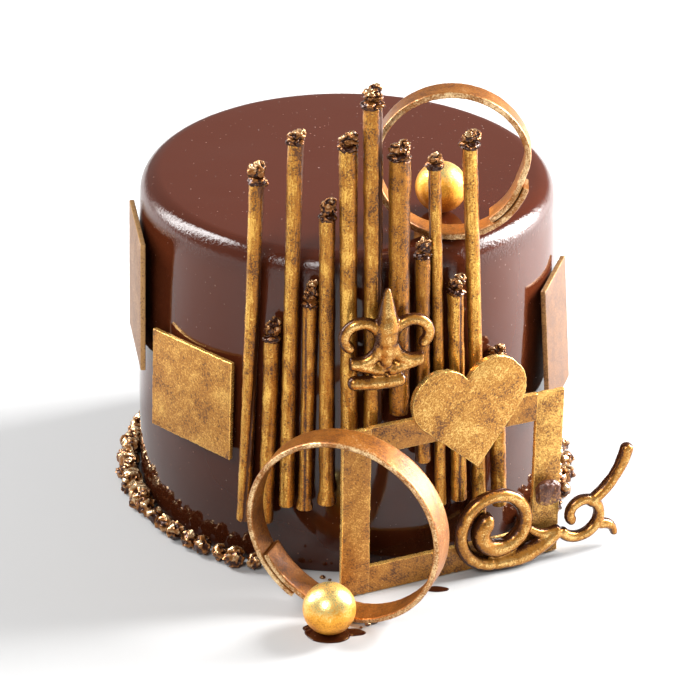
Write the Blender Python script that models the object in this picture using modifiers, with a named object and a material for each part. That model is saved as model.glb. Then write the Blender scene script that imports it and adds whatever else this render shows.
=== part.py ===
"""A tall round chocolate cake with a glazed wall and gold-dusted chocolate decorations.

Metres, +Z up. The origin is on the cake's axis at its flat base, and the cake's front faces -Y.
Places round the wall are angles in degrees from the front, positive to the cake's right (+X).
"""
import random
from math import atan2, cos, degrees, pi, radians, sin, sqrt, tan

import bmesh
import bpy
from mathutils import Matrix, Vector

MM = 0.001
GAP = 0.3 * MM                      # left between pieces that touch

# Cake: a straight wall that draws in near the top, a rounded shoulder and a flat top
CAKE_HEIGHT = 127.7 * MM
CAKE_RADIUS = 79.2 * MM
STRAIGHT_UP_TO = 70 * MM
WALL_TAPER = 0.85                   # how fast the wall draws in above that level, 1/m
SHOULDER_RADIUS = 8 * MM
FOOT_RADIUS = 0.8 * MM
CAKE_STEPS = 64

# Rolled sticks on the wall: angle at the lean level, sideways lean in degrees (positive: the
# top goes right), bottom and top level, diameter, widening of the foot, tip width and height
STICK_ROWS = (
    (-24.9, 1.5, 20.5, 155.0, 5.4, 1.05, 6.9, 8.8),
    (-19.1, 1.4, 22.0, 96.0, 5.9, 1.05, 6.6, 9.6),
    (-13.9, 0.7, 30.0, 172.0, 5.6, 1.05, 6.9, 5.2),
    (-9.3, 0.7, 29.5, 111.0, 5.1, 1.28, 6.3, 9.4),
    (-4.1, -0.5, 32.5, 144.5, 5.6, 1.25, 6.7, 8.1),
    (1.6, -0.9, 30.0, 171.0, 6.4, 1.05, 7.6, 6.8),
    (7.3, -0.7, 59.0, 186.5, 6.9, 1.00, 8.0, 9.2),
    (13.7, -0.6, 69.0, 167.0, 7.8, 0.90, 8.0, 8.0),
    (20.2, -0.9, 47.5, 128.5, 5.6, 1.05, 6.4, 8.8),
    (24.9, -1.8, 28.0, 161.5, 4.5, 1.05, 6.4, 5.8),
    (29.9, -1.9, 28.5, 112.5, 5.9, 1.02, 7.0, 7.6),
    (35.9, -2.6, 14.5, 167.0, 5.3, 0.80, 7.2, 7.0),
    (42.4, -2.1, 20.0, 81.0, 6.1, 1.00, 6.8, 6.2),
)
STICK_CLEARANCE = 1.3 * MM          # from the wall at the lean level; above it they touch
STICK_LEAN_LEVEL = 50 * MM
STICK_LEAN_IN = 0.0314              # the tops lean in with the wall, metres per metre
TIP_GAP = 0.45 * MM
TIP_SEED = 11

# Curled strips: outer radius, thickness, width, and where the inner end starts on the circle
FRONT_RING = dict(radius=36.5, thickness=2.1, width=11.6, start=208, overlap=30, lead=50,
                  x=1.8, y=-106.4, turn=-20.7)
TOP_RING = dict(radius=28.3, thickness=2.3, width=9.2, start=305, overlap=39, lead=35,
                x=36.9, y=-57.2, turn=-2.3)
STRIP_STEP = 7.5                    # degrees between points on a curled strip

# Balls
FRONT_BALL = dict(radius=9.6, x=-4.2, y=-118.4)
TOP_BALL = dict(radius=9.4, x=33.8, y=-36.8)

# Flat plaques on the wall: angle, distance of the outer face from the axis, sideways shift,
# level of the middle, width, height and how far the top leans in (degrees)
PLAQUE_THICKNESS = 1.9 * MM
PLAQUES = {
    "plaque_front_left": (-41.7, 82.2, -1.6, 63.7, 40.0, 39.3, 2.2),
    "plaque_left": (-80.0, 81.2, 10.0, 89.7, 39.4, 51.7, 1.1),
    "plaque_right": (73.6, 83.3, -2.5, 72.2, 32.0, 50.8, 4.4),
}
PLAQUE_EDGE = 0.35 * MM

# Window frame that stands on the ground against the sticks
FRAME_ANGLE = 24.3
FRAME_FACE = 89.2 * MM              # distance of its outer face from the cake's axis
FRAME_THICKNESS = 2.1 * MM
FRAME_WIDTH = 88.0 * MM
FRAME_HEIGHT = 68.8 * MM
FRAME_BAR = 11.2 * MM
FRAME_SHIFT = 3.6 * MM

# Heart that leans back over the frame's top bar: two round lobes and a straight-sided point
HEART_THICKNESS = 2.8 * MM
HEART_LOBE = 12.2 * MM
HEART_LOBE_OFFSET = 10.5 * MM
HEART_DROP = 28.2 * MM              # from the lobes' centre line to the point
HEART_SHIFT = 8.2 * MM
HEART_LEVEL = 75.2 * MM             # the lobes' centre line
HEART_LEAN = 8.0
HEART_ROLL = 4.7

# Piped flourishes, drawn in millimetres on a plane that touches what they lie against
PIPING = 2.6 * MM
UPPER_SCROLL = dict(angle=13.0, distance=90.3 * MM, middle=-5.8, level=83.0)
LOWER_SCROLL = dict(angle=FRAME_ANGLE, distance=92.4 * MM)
DAB = dict(shift=41.0 * MM, level=28.5 * MM, radius=5.6 * MM, depth=2.9 * MM)

# Crumb border round the foot of the wall, open in front where the ring and frame stand
BORDER_START = 56.0
BORDER_END = 339.0
BORDER_STEP = 7.8
BORDER_RADIUS = 84.8 * MM
BORDER_CORE = 2.7 * MM
BORDER_SEED = 5
WIDE_BORDER_END = 112.0             # on the right the border is three nuggets wide

# Colours from the object, linear RGB
GLAZE = (0.115, 0.052, 0.034)
GOLD_STICK = (0.47, 0.27, 0.09)
GOLD_PLATE = (0.52, 0.31, 0.11)
GOLD_BALL = (0.75, 0.42, 0.10)
NUGGET = (0.20, 0.11, 0.05)


def new_material(name, colour, roughness, metallic):
    material = bpy.data.materials.new(name)
    material.use_nodes = True
    shader = material.node_tree.nodes["Principled BSDF"]
    shader.inputs["Base Color"].default_value = (*colour, 1)
    shader.inputs["Roughness"].default_value = roughness
    shader.inputs["Metallic"].default_value = metallic
    return material


def new_collection(name):
    collection = bpy.data.collections.new(name)
    bpy.context.scene.collection.children.link(collection)
    return collection


def new_object(name, data, collection, material=None, matrix=None):
    thing = bpy.data.objects.new(name, data)
    collection.objects.link(thing)
    if material:
        data.materials.append(material)
    if matrix:
        thing.matrix_world = matrix
    return thing


def mesh_from(bm, name, smooth_angle=30):
    mesh = bpy.data.meshes.new(name)
    bm.to_mesh(mesh)
    bm.free()
    mesh.shade_smooth()
    mesh.set_sharp_from_angle(angle=radians(smooth_angle))
    return mesh


def outward(angle):
    return Vector((sin(radians(angle)), -cos(radians(angle)), 0))


def wall_place(angle, distance, shift, level, lean=0.0, roll=0.0):
    """X along the wall to the right, Y up, Z out of the wall; the top leans in by lean."""
    out = outward(angle)
    along = Vector((cos(radians(angle)), sin(radians(angle)), 0))
    up = Vector((0, 0, 1))
    leaning_up = up * cos(radians(lean)) - out * sin(radians(lean))
    leaning_out = out * cos(radians(lean)) + up * sin(radians(lean))
    turn = Matrix((along, leaning_up, leaning_out)).transposed().to_4x4()
    middle = out * distance + along * shift + up * level
    return Matrix.Translation(middle) @ turn @ Matrix.Rotation(radians(roll), 4, "Z")


def wall_radius(level):
    return CAKE_RADIUS - WALL_TAPER * max(0, level - STRAIGHT_UP_TO) ** 2


def make_cake(collection, material):
    shoulder_level = CAKE_HEIGHT - SHOULDER_RADIUS
    shoulder_centre = wall_radius(shoulder_level) - SHOULDER_RADIUS
    profile = [(0, CAKE_HEIGHT)]
    for step in range(7):
        turn = pi / 2 * (1 - step / 6)
        profile.append((shoulder_centre + SHOULDER_RADIUS * cos(turn),
                        shoulder_level + SHOULDER_RADIUS * sin(turn)))
    for level in (108 * MM, 92 * MM, STRAIGHT_UP_TO):
        profile.append((wall_radius(level), level))
    foot = wall_radius(0)
    profile += [(foot, FOOT_RADIUS), (foot - FOOT_RADIUS, 0), (0, 0)]

    bm = bmesh.new()
    corners = [bm.verts.new((x, 0, z)) for x, z in profile]
    for upper, lower in zip(corners, corners[1:]):
        bm.edges.new((upper, lower))
    cake = new_object("cake", mesh_from(bm, "cake"), collection, material)
    screw = cake.modifiers.new("turn", "SCREW")
    screw.steps = screw.render_steps = CAKE_STEPS
    screw.use_merge_vertices = True
    screw.merge_threshold = 0.00002
    screw.use_smooth_shade = True


def stick_axis(row):
    """The stick's lowest and highest points on its axis, just clear of the wall."""
    angle, lean, bottom, top, diameter = row[:5]
    distance = CAKE_RADIUS + STICK_CLEARANCE + diameter / 2 * MM
    out = outward(angle)
    along = Vector((cos(radians(angle)), sin(radians(angle)), 0))
    ends = []
    for level in (bottom * MM, top * MM):
        rise = level - STICK_LEAN_LEVEL
        side = along * rise * tan(radians(lean))
        ends.append(out * (distance - rise * STICK_LEAN_IN) + side + Vector((0, 0, level)))
    return ends


def make_stick(name, row, collection, material):
    diameter, foot = row[4:6]
    bottom, top = stick_axis(row)
    curve = bpy.data.curves.new(name, "CURVE")
    curve.dimensions = "3D"
    curve.bevel_depth = diameter / 2 * MM
    curve.bevel_resolution = 4
    curve.use_fill_caps = True
    spline = curve.splines.new("POLY")
    stations = ((0.0, foot), (0.06, 1.0), (0.55, 0.98), (1.0, 1.03))
    spline.points.add(len(stations) - 1)
    for point, (part, widening) in zip(spline.points, stations):
        point.co = (*bottom.lerp(top, part), 1)
        point.radius = widening
    new_object(name, curve, collection, material)


def add_lump(bm, middle, size, rng, subdivisions=1, roughness=0.22):
    """A rough stone whose corners all stay inside an ellipsoid of the given half sizes."""
    turn = Matrix.Rotation(rng.uniform(0, 2 * pi), 3, "Z")
    for vertex in bmesh.ops.create_icosphere(bm, subdivisions=subdivisions, radius=1)["verts"]:
        point = turn @ vertex.co * (1 - rng.random() * roughness)
        vertex.co = middle + Vector((point.x * size[0], point.y * size[1], point.z * size[2]))


def make_tip(name, row, rng, collection, material):
    width, height = row[6] / 2 * MM, row[7] / 2 * MM
    bottom, top = stick_axis(row)
    bm = bmesh.new()
    add_lump(bm, Vector((0, 0, 0)), (width, width * 0.92, height), rng, 2)
    lowest = min(vertex.co.z for vertex in bm.verts)
    rest = top + Vector((0, 0, TIP_GAP - lowest))
    bmesh.ops.translate(bm, verts=bm.verts, vec=rest)
    new_object(name, mesh_from(bm, name, 10), collection, material)


def filled_outline(name, outlines, thickness):
    """A flat plate between closed outlines, from -thickness/2 to thickness/2 along Z."""
    curve = bpy.data.curves.new(name, "CURVE")
    curve.dimensions = "2D"
    curve.fill_mode = "BOTH"
    curve.extrude = thickness / 2
    for outline in outlines:
        spline = curve.splines.new("POLY")
        spline.points.add(len(outline) - 1)
        for point, (x, y) in zip(spline.points, outline):
            point.co = (x, y, 0, 1)
        spline.use_cyclic_u = True
    return curve


def curled_strip(radius, thickness, start, overlap, lead):
    """Outline of a strip bent round, with its inner end tucked inside its outer end."""
    count = round((360 + overlap) / STRIP_STEP)
    inner, outer = [], []
    for step in range(count + 1):
        turned = (360 + overlap) * step / count
        part = min(max((turned - overlap) / lead, 0), 1)
        tuck = (thickness + GAP) * (1 - part * part * (3 - 2 * part))
        angle = radians(start + turned)
        reach = radius - tuck
        outer.append((reach * cos(angle), reach * sin(angle)))
        inner.append(((reach - thickness) * cos(angle), (reach - thickness) * sin(angle)))
    return outer + inner[::-1]


def make_ring(name, sizes, floor, collection, material):
    radius, thickness = sizes["radius"] * MM, sizes["thickness"] * MM
    outline = curled_strip(radius, thickness, sizes["start"], sizes["overlap"], sizes["lead"])
    lowest = min(y for x, y in outline)
    place = wall_place(sizes["turn"], 0, 0, 0)
    place.translation = (sizes["x"] * MM, sizes["y"] * MM, floor - lowest)
    plate = filled_outline(name, [outline], sizes["width"] * MM)
    new_object(name, plate, collection, material, place)


def make_ball(name, sizes, floor, collection, material):
    radius = sizes["radius"] * MM
    bm = bmesh.new()
    bmesh.ops.create_uvsphere(bm, u_segments=22, v_segments=13, radius=radius)
    place = Matrix.Translation((sizes["x"] * MM, sizes["y"] * MM, floor + radius))
    new_object(name, mesh_from(bm, name, 60), collection, material, place)


def make_plaque(name, row, collection, material):
    angle, distance, shift, level, width, height, lean = row
    bm = bmesh.new()
    bmesh.ops.create_cube(bm, size=1)
    bmesh.ops.scale(bm, verts=bm.verts, vec=(width * MM, height * MM, PLAQUE_THICKNESS))
    place = wall_place(angle, distance * MM - PLAQUE_THICKNESS / 2, shift * MM, level * MM, lean)
    plaque = new_object(name, mesh_from(bm, name), collection, material, place)
    bevel = plaque.modifiers.new("broken edge", "BEVEL")
    bevel.width = PLAQUE_EDGE
    bevel.segments = 1


def rectangle(width, height):
    return [(sx * width / 2, sy * height / 2) for sx, sy in ((-1, -1), (1, -1), (1, 1), (-1, 1))]


def make_frame(collection, material):
    opening = rectangle(FRAME_WIDTH - 2 * FRAME_BAR, FRAME_HEIGHT - 2 * FRAME_BAR)
    outlines = [rectangle(FRAME_WIDTH, FRAME_HEIGHT), opening]
    plate = filled_outline("window_frame", outlines, FRAME_THICKNESS)
    place = wall_place(FRAME_ANGLE, FRAME_FACE - FRAME_THICKNESS / 2, FRAME_SHIFT,
                       FRAME_HEIGHT / 2 + GAP)
    new_object("window_frame", plate, collection, material, place)


def heart_outline():
    """Two arcs that meet in the notch, and tangents from them to the point."""
    reach = sqrt(HEART_LOBE_OFFSET ** 2 + HEART_DROP ** 2)
    notch = atan2(sqrt(HEART_LOBE ** 2 - HEART_LOBE_OFFSET ** 2), -HEART_LOBE_OFFSET)
    to_point = atan2(-HEART_DROP, -HEART_LOBE_OFFSET)
    tangent = to_point + pi / 2 - atan2(HEART_LOBE, sqrt(reach ** 2 - HEART_LOBE ** 2))
    right = []
    steps = 16
    for step in range(steps + 1):
        angle = notch + (tangent - notch) * step / steps
        right.append((HEART_LOBE_OFFSET + HEART_LOBE * cos(angle), HEART_LOBE * sin(angle)))
    left = [(-x, y) for x, y in right[:0:-1]]
    return right + [(0, -HEART_DROP)] + left


def make_heart(collection, material):
    plate = filled_outline("heart", [heart_outline()], HEART_THICKNESS)
    slope = tan(radians(HEART_LEAN))
    back = FRAME_FACE + GAP - (HEART_LEVEL - FRAME_HEIGHT - GAP) * slope
    distance = back + HEART_THICKNESS / 2 / cos(radians(HEART_LEAN))
    place = wall_place(FRAME_ANGLE, distance, HEART_SHIFT, HEART_LEVEL, HEART_LEAN, HEART_ROLL)
    new_object("heart", plate, collection, material, place)


def volute(middle, radii, angles, steps):
    """Points of a spiral that closes faster towards its eye, in millimetres."""
    points = []
    for step in range(steps + 1):
        part = step / steps
        radius = radii[0] + (radii[1] - radii[0]) * part ** 1.5
        angle = radians(angles[0] + (angles[1] - angles[0]) * part)
        points.append((middle[0] + radius * cos(angle), middle[1] + radius * sin(angle)))
    return points


def bowed(start, end, bow, steps=5):
    """Points of a shallow arc; bow is its rise to the left of the way from start to end."""
    across = (-(end[1] - start[1]), end[0] - start[0])
    points = []
    for step in range(steps + 1):
        part = step / steps
        rise = bow * 4 * part * (1 - part)
        points.append((start[0] + (end[0] - start[0]) * part + across[0] * rise,
                       start[1] + (end[1] - start[1]) * part + across[1] * rise))
    return points


def piped_stroke(points, widths):
    """One piped stroke; widths are the radius factors at its start, middle and end."""
    curve = bpy.data.curves.new("stroke", "CURVE")
    curve.dimensions = "3D"
    curve.bevel_depth = PIPING
    curve.bevel_resolution = 2
    curve.use_fill_caps = True
    spline = curve.splines.new("POLY")
    spline.points.add(len(points) - 1)
    for index, (x, y) in enumerate(points):
        part = index / (len(points) - 1)
        near = min(part, 1 - part) * 2
        end_width = widths[0] if part < 0.5 else widths[2]
        spline.points[index].co = (x * MM, y * MM, 0, 1)
        spline.points[index].radius = end_width + (widths[1] - end_width) * near
    return curve


def stroke_mesh(curve, matrix):
    """The stroke's tube as a closed mesh in place."""
    holder = bpy.data.objects.new("stroke", curve)
    bpy.context.scene.collection.objects.link(holder)
    bpy.context.view_layer.update()
    evaluated = holder.evaluated_get(bpy.context.evaluated_depsgraph_get())
    mesh = bpy.data.meshes.new_from_object(evaluated)
    bpy.data.objects.remove(holder)
    bm = bmesh.new()
    bm.from_mesh(mesh)
    bmesh.ops.remove_doubles(bm, verts=bm.verts, dist=0.00001)
    bmesh.ops.transform(bm, matrix=matrix, verts=bm.verts)
    bmesh.ops.recalc_face_normals(bm, faces=bm.faces)
    bm.to_mesh(mesh)
    bm.free()
    return mesh


def union(name, meshes, collection, material):
    """Joins overlapping closed meshes into one solid."""
    extras = new_collection(name + "_extras")
    body = new_object(name, meshes[0], collection)
    for mesh in meshes[1:]:
        new_object("piece", mesh, extras)
    join = body.modifiers.new("join", "BOOLEAN")
    join.operation = "UNION"
    join.solver = "EXACT"
    join.operand_type = "COLLECTION"
    join.collection = extras
    bpy.context.view_layer.update()
    evaluated = body.evaluated_get(bpy.context.evaluated_depsgraph_get())
    joined = bpy.data.meshes.new_from_object(evaluated)
    body.modifiers.clear()
    body.data = joined
    joined.name = name
    joined.materials.clear()
    joined.materials.append(material)
    joined.shade_smooth()
    joined.set_sharp_from_angle(angle=radians(35))
    for piece in list(extras.objects):
        bpy.data.objects.remove(piece)
    bpy.data.collections.remove(extras)
    return body


def make_upper_scroll(collection, material):
    """An upright leaf between two outward volutes, on a short base stroke."""
    middle, level = UPPER_SCROLL["middle"], UPPER_SCROLL["level"]
    base = (middle, level + 7)
    strokes = [
        ([(middle, level + 8), (middle, level + 16), (middle, level + 25), (middle, level + 33),
          (middle, level + 40)], (0.8, 1.9, 0.35)),
        (bowed((middle - 14, level + 3.6), (middle + 7.5, level + 3.6), -0.03), (1.0, 1.1, 1.0)),
    ]
    for side in (-1, 1):
        curl = volute((middle + side * 10.2, level + 20), (9.2, 3.2),
                      (250, 610) if side < 0 else (290, -70), 17)
        strokes.append(([base] + curl, (0.9, 0.95, 0.8)))
    place = wall_place(UPPER_SCROLL["angle"], UPPER_SCROLL["distance"], 0, 0)
    meshes = [stroke_mesh(piped_stroke(points, widths), place) for points, widths in strokes]
    union("scroll_upper", meshes, collection, material)


def make_lower_scroll(collection, material):
    """A running vine: a large and a small volute, a leaf loop and a long tendril."""
    floor = PIPING / MM + 0.35
    large = volute((20.4, 18.7), (15.6, 4.2), (-90, -610), 32)
    small = volute((55.0, 15.8), (9.4, 3.2), (205, 590), 18)
    strokes = [
        (large, (1.0, 0.95, 1.15)),
        (bowed((18.0, floor + 0.4), (46.5, 11.8), -0.10, 8), (1.0, 1.25, 0.9)),
        (small, (0.95, 0.85, 0.8)),
        (bowed((47.0, 12.4), (33.5, 15.5), 0.20, 4), (0.9, 0.8, 0.55)),
        (bowed((57.3, 19.5), (74.2, 43.0), -0.12, 6), (0.95, 0.85, 0.75)),
        (bowed((62.0, 10.0), (70.0, 3.6), 0.25, 4), (0.9, 0.75, 0.5)),
    ]
    place = wall_place(LOWER_SCROLL["angle"], LOWER_SCROLL["distance"], 0, 0)
    meshes = [stroke_mesh(piped_stroke(points, widths), place) for points, widths in strokes]
    union("scroll_lower", meshes, collection, material)


def make_dab(collection, material):
    """A dab of chocolate against the frame's face."""
    bm = bmesh.new()
    bmesh.ops.create_uvsphere(bm, u_segments=12, v_segments=7, radius=1)
    bmesh.ops.scale(bm, verts=bm.verts, vec=(DAB["radius"], DAB["radius"], DAB["depth"]))
    place = wall_place(FRAME_ANGLE, FRAME_FACE + GAP + DAB["depth"], DAB["shift"], DAB["level"])
    new_object("dab", mesh_from(bm, "dab", 60), collection, material, place)


def border_core():
    """The low mound under the nuggets, swept round the foot of the wall."""
    curve = bpy.data.curves.new("core", "CURVE")
    curve.dimensions = "3D"
    curve.bevel_depth = BORDER_CORE
    curve.bevel_resolution = 0
    curve.use_fill_caps = True
    spline = curve.splines.new("POLY")
    count = round((BORDER_END - BORDER_START) / 12)
    spline.points.add(count)
    for step, point in enumerate(spline.points):
        angle = BORDER_START + (BORDER_END - BORDER_START) * step / count
        extra = 0.8 * MM if angle < WIDE_BORDER_END else 0
        middle = outward(angle) * (BORDER_RADIUS + extra)
        point.co = (*(middle + Vector((0, 0, BORDER_CORE + extra + 0.3 * MM))), 1)
        point.radius = 1 + extra / BORDER_CORE
    return stroke_mesh(curve, Matrix())


def lump_mesh(middle, radius, rng):
    bm = bmesh.new()
    add_lump(bm, middle, (radius, radius, radius * rng.uniform(0.8, 1.0)), rng)
    return mesh_from(bm, "nugget", 10)


def make_border(collection, material):
    rng = random.Random(BORDER_SEED)
    meshes = [border_core()]
    wall = wall_radius(0) + 2 * GAP
    angle = BORDER_START
    while angle <= BORDER_END:
        wide = angle < WIDE_BORDER_END
        radius = rng.uniform(4.0, 5.0) * MM
        distance = wall + radius + rng.uniform(0, 0.4) * MM
        place = outward(angle + rng.uniform(-0.8, 0.8)) * distance
        meshes.append(lump_mesh(place + Vector((0, 0, radius + 0.1 * MM)), radius, rng))

        radius = rng.uniform(3.4, 4.2) * MM
        distance = wall + rng.uniform(6.6, 7.4) * MM + (1.6 * MM if wide else 0)
        place = outward(angle + BORDER_STEP / 2) * distance
        meshes.append(lump_mesh(place + Vector((0, 0, radius + 0.1 * MM)), radius, rng))

        if rng.random() < (0.8 if wide else 0.4):
            radius = rng.uniform(3.0, 3.7) * MM
            place = outward(angle + BORDER_STEP * 0.4) * (wall + radius + 0.8 * MM)
            meshes.append(lump_mesh(place + Vector((0, 0, 6.6 * MM)), radius, rng))
        angle += BORDER_STEP
    border = union("nugget_border", meshes, collection, material)
    print("border triangles", sum(len(face.vertices) - 2 for face in border.data.polygons))


def main():
    for thing in list(bpy.data.objects):
        bpy.data.objects.remove(thing)
    parts = new_collection("chocolate_cake")
    glaze = new_material("glaze", GLAZE, 0.06, 0.0)
    stick_gold = new_material("stick_gold", GOLD_STICK, 0.42, 0.6)
    plate_gold = new_material("plate_gold", GOLD_PLATE, 0.45, 0.55)
    ball_gold = new_material("ball_gold", GOLD_BALL, 0.3, 0.8)
    nugget = new_material("nugget", NUGGET, 0.4, 0.5)

    make_cake(parts, glaze)
    rng = random.Random(TIP_SEED)
    for number, row in enumerate(STICK_ROWS, 1):
        make_stick(f"stick_{number:02d}", row, parts, stick_gold)
        make_tip(f"tip_{number:02d}", row, rng, parts, nugget)
    make_ring("front_ring", FRONT_RING, GAP, parts, plate_gold)
    make_ring("top_ring", TOP_RING, CAKE_HEIGHT + GAP, parts, plate_gold)
    make_ball("front_ball", FRONT_BALL, 0, parts, ball_gold)
    make_ball("top_ball", TOP_BALL, CAKE_HEIGHT + GAP, parts, ball_gold)
    for name, row in PLAQUES.items():
        make_plaque(name, row, parts, plate_gold)
    make_frame(parts, plate_gold)
    make_heart(parts, plate_gold)
    make_upper_scroll(parts, plate_gold)
    make_lower_scroll(parts, plate_gold)
    make_dab(parts, nugget)
    make_border(parts, nugget)


main()
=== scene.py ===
import random
from math import atan2, cos, exp, pi, radians, sin, sqrt, tan

import bmesh
import bpy
from mathutils import Matrix, Vector, noise


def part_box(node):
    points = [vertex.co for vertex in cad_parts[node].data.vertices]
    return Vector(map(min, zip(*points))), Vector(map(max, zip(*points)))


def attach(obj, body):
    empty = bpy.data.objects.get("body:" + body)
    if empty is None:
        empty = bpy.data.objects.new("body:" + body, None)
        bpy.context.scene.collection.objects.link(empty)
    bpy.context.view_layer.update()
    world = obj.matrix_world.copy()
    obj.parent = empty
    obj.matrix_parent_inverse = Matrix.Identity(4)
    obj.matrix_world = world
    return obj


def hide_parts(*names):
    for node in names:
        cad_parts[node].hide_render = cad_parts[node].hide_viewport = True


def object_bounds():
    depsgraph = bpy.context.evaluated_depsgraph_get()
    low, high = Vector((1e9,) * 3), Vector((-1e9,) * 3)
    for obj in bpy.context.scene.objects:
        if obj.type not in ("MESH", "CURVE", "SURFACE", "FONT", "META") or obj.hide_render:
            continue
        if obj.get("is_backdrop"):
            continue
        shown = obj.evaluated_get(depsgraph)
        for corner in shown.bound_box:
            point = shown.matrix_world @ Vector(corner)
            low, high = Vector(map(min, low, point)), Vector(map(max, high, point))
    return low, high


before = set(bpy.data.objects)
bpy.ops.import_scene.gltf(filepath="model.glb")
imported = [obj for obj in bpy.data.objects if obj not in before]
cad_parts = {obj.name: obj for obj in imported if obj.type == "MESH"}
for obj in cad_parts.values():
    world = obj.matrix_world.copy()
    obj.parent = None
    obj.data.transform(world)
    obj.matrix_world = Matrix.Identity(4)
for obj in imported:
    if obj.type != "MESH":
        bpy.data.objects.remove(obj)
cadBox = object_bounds()
mm = 0.001


# Camera: it stands where the photograph was taken from
cameraView = dict(at=(0.00188, -1.01842, 0.58919), tilt=27.854, roll=0.791, lens=154.29, sensor=36,
                  reach=20)


def placeCamera():
    tilt, roll = radians(cameraView["tilt"]), radians(cameraView["roll"])
    ahead = Vector((0, cos(tilt), -sin(tilt)))
    right = Vector((1, 0, 0))
    up = Vector((0, sin(tilt), cos(tilt)))
    across = right * cos(roll) + up * sin(roll)
    upward = up * cos(roll) - right * sin(roll)
    turn = Matrix((across, upward, -ahead)).transposed().to_4x4()
    camera = bpy.data.cameras.new("camera")
    camera.lens = cameraView["lens"]
    camera.sensor_width = cameraView["sensor"]
    camera.clip_end = cameraView["reach"]
    holder = bpy.data.objects.new("camera", camera)
    holder.matrix_world = Matrix.Translation(cameraView["at"]) @ turn
    bpy.context.scene.collection.objects.link(holder)
    bpy.context.scene.camera = holder


placeCamera()
print("camera placed")


# Places on the cake's wall: X runs along the wall to the right, Y up, Z out of the wall
def outward(angle):
    return Vector((sin(radians(angle)), -cos(radians(angle)), 0))


def wallPlace(angle, distance, shift, level, lean=0.0, roll=0.0):
    out = outward(angle)
    along = Vector((cos(radians(angle)), sin(radians(angle)), 0))
    up = Vector((0, 0, 1))
    leaningUp = up * cos(radians(lean)) - out * sin(radians(lean))
    leaningOut = out * cos(radians(lean)) + up * sin(radians(lean))
    turn = Matrix((along, leaningUp, leaningOut)).transposed().to_4x4()
    middle = out * distance + along * shift + up * level
    return Matrix.Translation(middle) @ turn @ Matrix.Rotation(radians(roll), 4, "Z")


def waver(point, scale, offset):
    return noise.noise(Vector(point) * scale + Vector((offset, offset * 0.7, -offset)))


def eased(value):
    value = min(max(value, 0), 1)
    return value * value * (3 - 2 * value)


# Shader maths: a wire carries a socket, and a finish makes the nodes
class Wire:
    def __init__(self, finish, socket):
        self.finish = finish
        self.socket = socket

    def worked(self, operation, first, second):
        return self.finish.node("ShaderNodeMath", {"operation": operation}, {0: first, 1: second})

    def __add__(self, other):
        return self.worked("ADD", self, other)

    def __radd__(self, other):
        return self.worked("ADD", other, self)

    def __sub__(self, other):
        return self.worked("SUBTRACT", self, other)

    def __rsub__(self, other):
        return self.worked("SUBTRACT", other, self)

    def __mul__(self, other):
        return self.worked("MULTIPLY", self, other)

    def __rmul__(self, other):
        return self.worked("MULTIPLY", other, self)

    def __pow__(self, other):
        return self.worked("POWER", self, other)

    def __lt__(self, other):
        return self.worked("LESS_THAN", self, other)


class Finish:
    def __init__(self, name, **constants):
        self.material = bpy.data.materials.new(name)
        self.material.use_nodes = True
        self.tree = self.material.node_tree
        self.shader = self.tree.nodes["Principled BSDF"]
        for socket, value in constants.items():
            self.shader.inputs[socket.replace("_", " ")].default_value = value

    def node(self, kind, settings=None, values=None, output=None):
        made = self.tree.nodes.new(kind)
        for name, value in (settings or {}).items():
            setattr(made, name, value)
        for name, value in (values or {}).items():
            if isinstance(name, int):
                socket = made.inputs[name]
            else:
                socket = next(s for s in made.inputs if s.name == name and s.enabled)
            if isinstance(value, Wire):
                self.tree.links.new(value.socket, socket)
            elif socket.type == "RGBA" and len(value) == 3:
                socket.default_value = (*value, 1)
            else:
                socket.default_value = value
        shown = [s for s in made.outputs if s.enabled]
        return Wire(self, made.outputs[output] if output else shown[0])

    def place(self, stretch=(1, 1, 1), turn=(0, 0, 0)):
        spot = self.node("ShaderNodeTexCoord", output="Object")
        if stretch == (1, 1, 1) and turn == (0, 0, 0):
            return spot
        # a texture mapping turns first and stretches after, so a grain can lie at a slant
        longer = tuple(1 / part for part in stretch)
        return self.node("ShaderNodeMapping", {"vector_type": "TEXTURE"},
                         {"Vector": spot, "Scale": longer, "Rotation": turn})

    def grain(self, size, detail, roughness=0.55, stretch=(1, 1, 1), turn=(0, 0, 0),
              distortion=0.0):
        values = {"Vector": self.place(stretch, turn), "Scale": 1 / size, "Detail": detail,
                  "Roughness": roughness, "Distortion": distortion}
        return self.node("ShaderNodeTexNoise", {"noise_dimensions": "3D"}, values)

    def band(self, value, low, high):
        return self.node("ShaderNodeMapRange", {"interpolation_type": "SMOOTHSTEP"},
                         {"Value": value, "From Min": low, "From Max": high,
                          "To Min": 0.0, "To Max": 1.0})

    def blend(self, amount, first, second):
        return self.node("ShaderNodeMix", {"data_type": "RGBA"},
                         {"Factor": amount, "A": first, "B": second})

    def dots(self, scale, channel, rarity, size):
        # one dot to a cell: the higher the rarity, the fewer are large enough to be seen
        cells = {"Vector": self.place(), "Scale": scale}
        near = self.node("ShaderNodeTexVoronoi", None, cells, "Distance")
        colour = self.node("ShaderNodeTexVoronoi", None, cells, "Color")
        chance = self.node("ShaderNodeSeparateColor", None, {0: colour}, channel)
        return near < (chance ** rarity) * size

    def relief(self, height, depth, strength, under=None):
        values = {"Height": height, "Distance": depth, "Strength": strength}
        if under:
            values["Normal"] = under
        return self.node("ShaderNodeBump", None, values)

    def attribute(self, name):
        return self.node("ShaderNodeAttribute", {"attribute_name": name}, output="Fac")

    def feed(self, **wires):
        for name, wire in wires.items():
            self.tree.links.new(wire.socket, self.shader.inputs[name.replace("_", " ")])
        return self.material


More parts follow.
